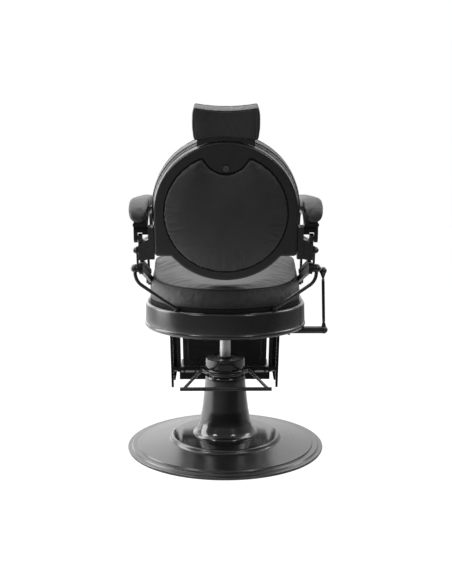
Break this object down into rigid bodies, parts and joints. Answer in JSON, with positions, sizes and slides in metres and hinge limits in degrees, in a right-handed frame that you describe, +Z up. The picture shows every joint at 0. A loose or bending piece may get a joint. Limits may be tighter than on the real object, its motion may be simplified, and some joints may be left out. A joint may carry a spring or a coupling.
{
  "type": "barber chair",
  "caption": "Hydraulic barber chair with a round reclining back, lifting head rest, padded arms, swinging leg rest with foot plate, foot pedal and round stepped base.",
  "frame": {"origin": "on the column axis, on the floor under the base", "axes": "+Z up, +Y the way the sitter faces, +X the sitter's right"},
  "size_m": [0.7139, 0.9166, 1.1989],
  "materials": {
    "cast_iron": "black enamel over cast iron, semi gloss",
    "painted_metal": "black powder coat, satin",
    "leather": "black upholstery leather, soft sheen",
    "chrome": "polished chrome",
    "brushed_steel": "zinc plated steel",
    "rubber": "matt black rubber",
    "wood": "plain plywood",
    "gloss_plastic": "gloss black ball knob"
  },
  "bodies": {
    "base": {"base_plate": "cast_iron", "base_mat": "rubber", "column_cover": "painted_metal", "column_tube": "painted_metal", "column_bolts": "brushed_steel"},
    "pump": {"pump_cylinder": "painted_metal", "pump_head": "painted_metal", "rod_wiper": "rubber"},
    "foot_pedal": {"pedal": "painted_metal"},
    "seat": {"piston_rod": "chrome", "seat_hub": "cast_iron", "hub_bolts": "brushed_steel", "seat_frame": "painted_metal", "apron": "painted_metal", "seat_board": "wood", "seat_cushion": "leather", "rail_pins": "brushed_steel", "leg_hinge": "painted_metal", "lever_bracket": "brushed_steel", "lock_unit": "painted_metal", "side_rail_left": "painted_metal", "side_rail_right": "painted_metal", "upper_bar_left": "painted_metal", "upper_bar_right": "painted_metal", "rear_brace_left": "painted_metal", "rear_brace_right": "painted_metal"},
    "lever": {"recline_lever": "painted_metal", "lever_ball": "gloss_plastic"},
    "back": {"back_frame": "painted_metal", "back_disc": "leather", "back_cushion": "leather", "hub_pins": "chrome", "head_sleeve": "painted_metal", "side_plate_left": "painted_metal", "side_plate_right": "painted_metal", "back_hub_left": "cast_iron", "back_hub_right": "cast_iron", "cheek_left": "painted_metal", "cheek_right": "painted_metal"},
    "lock": {"head_lock": "chrome"},
    "head": {"head_stem": "painted_metal", "head_bracket": "painted_metal", "head_cushion": "leather"},
    "arm_l": {"arm_frame_left": "painted_metal", "arm_pad_left": "leather", "front_pin_left": "brushed_steel"},
    "arm_r": {"arm_frame_right": "painted_metal", "arm_pad_right": "leather", "front_pin_right": "brushed_steel"},
    "post_l": {"front_post_left": "painted_metal"},
    "post_r": {"front_post_right": "painted_metal"},
    "leg": {"leg_frame": "painted_metal", "leg_plate_left": "painted_metal", "leg_plate_right": "painted_metal", "leg_board": "painted_metal", "leg_cushion": "leather", "leg_axle": "chrome"},
    "foot": {"foot_plate": "painted_metal", "foot_tread": "rubber"}
  },
  "joints": [
    {"name": "swivel", "type": "hinge", "parent": "base", "child": "pump", "pos_m": [0, 0, 0.261], "axis": [0, 0, 1], "continuous": true},
    {"name": "pedal_hinge", "type": "hinge", "parent": "pump", "child": "foot_pedal", "pos_m": [0, 0, 0.281], "axis": [1, 0, 0], "range_deg": [0, 12.5], "stiffness_Nm_per_rad": 40, "springref_deg": -8.59},
    {"name": "seat_lift", "type": "slide", "parent": "pump", "child": "seat", "axis": [0, 0, 1], "range_m": [-0.078, 0.075]},
    {"name": "recline", "type": "hinge", "parent": "seat", "child": "back", "pos_m": [0, -0.265, 0.68], "axis": [1, 0, 0], "range_deg": [0, 40]},
    {"name": "lever_hinge", "type": "hinge", "parent": "seat", "child": "lever", "pos_m": [0, 0, 0.424], "axis": [1, 0, 0], "range_deg": [0, 22], "stiffness_Nm_per_rad": 6, "springref_deg": -17.19},
    {"name": "head_lock_turn", "type": "hinge", "parent": "back", "child": "lock", "pos_m": [0, -0.37953, 0.99924], "axis": [0, -0.9659, -0.2588], "range_deg": [0, 180]},
    {"name": "head_slide", "type": "slide", "parent": "back", "child": "head", "axis": [0, -0.2588, 0.9659], "range_m": [0, 0.11]},
    {"name": "arm_left_hinge", "type": "hinge", "parent": "back", "child": "arm_l", "pos_m": [0, -0.29192, 0.78046], "axis": [1, 0, 0], "range_deg": [-40, 0]},
    {"name": "arm_right_hinge", "type": "hinge", "parent": "back", "child": "arm_r", "pos_m": [0, -0.29192, 0.78046], "axis": [1, 0, 0], "range_deg": [-40, 0]},
    {"name": "post_left_hinge", "type": "hinge", "parent": "seat", "child": "post_l", "pos_m": [0, 0.18248, 0.5734], "axis": [1, 0, 0], "range_deg": [0, 40]},
    {"name": "post_right_hinge", "type": "hinge", "parent": "seat", "child": "post_r", "pos_m": [0, 0.18248, 0.5734], "axis": [1, 0, 0], "range_deg": [0, 40]},
    {"name": "leg_swing", "type": "hinge", "parent": "seat", "child": "leg", "pos_m": [0, 0.222, 0.425], "axis": [1, 0, 0], "range_deg": [0, 50]},
    {"name": "foot_fold", "type": "hinge", "parent": "leg", "child": "foot", "pos_m": [0, 0.3034, 0.20135], "axis": [1, 0, 0], "range_deg": [0, 55]}
  ],
  "couplings": [
    {"joint": "arm_left_hinge", "follows": "recline", "ratio": -1},
    {"joint": "arm_right_hinge", "follows": "recline", "ratio": -1},
    {"joint": "post_left_hinge", "follows": "recline", "ratio": 1},
    {"joint": "post_right_hinge", "follows": "recline", "ratio": 1},
    {"joint": "leg_swing", "follows": "recline", "ratio": 1.25}
  ]
}
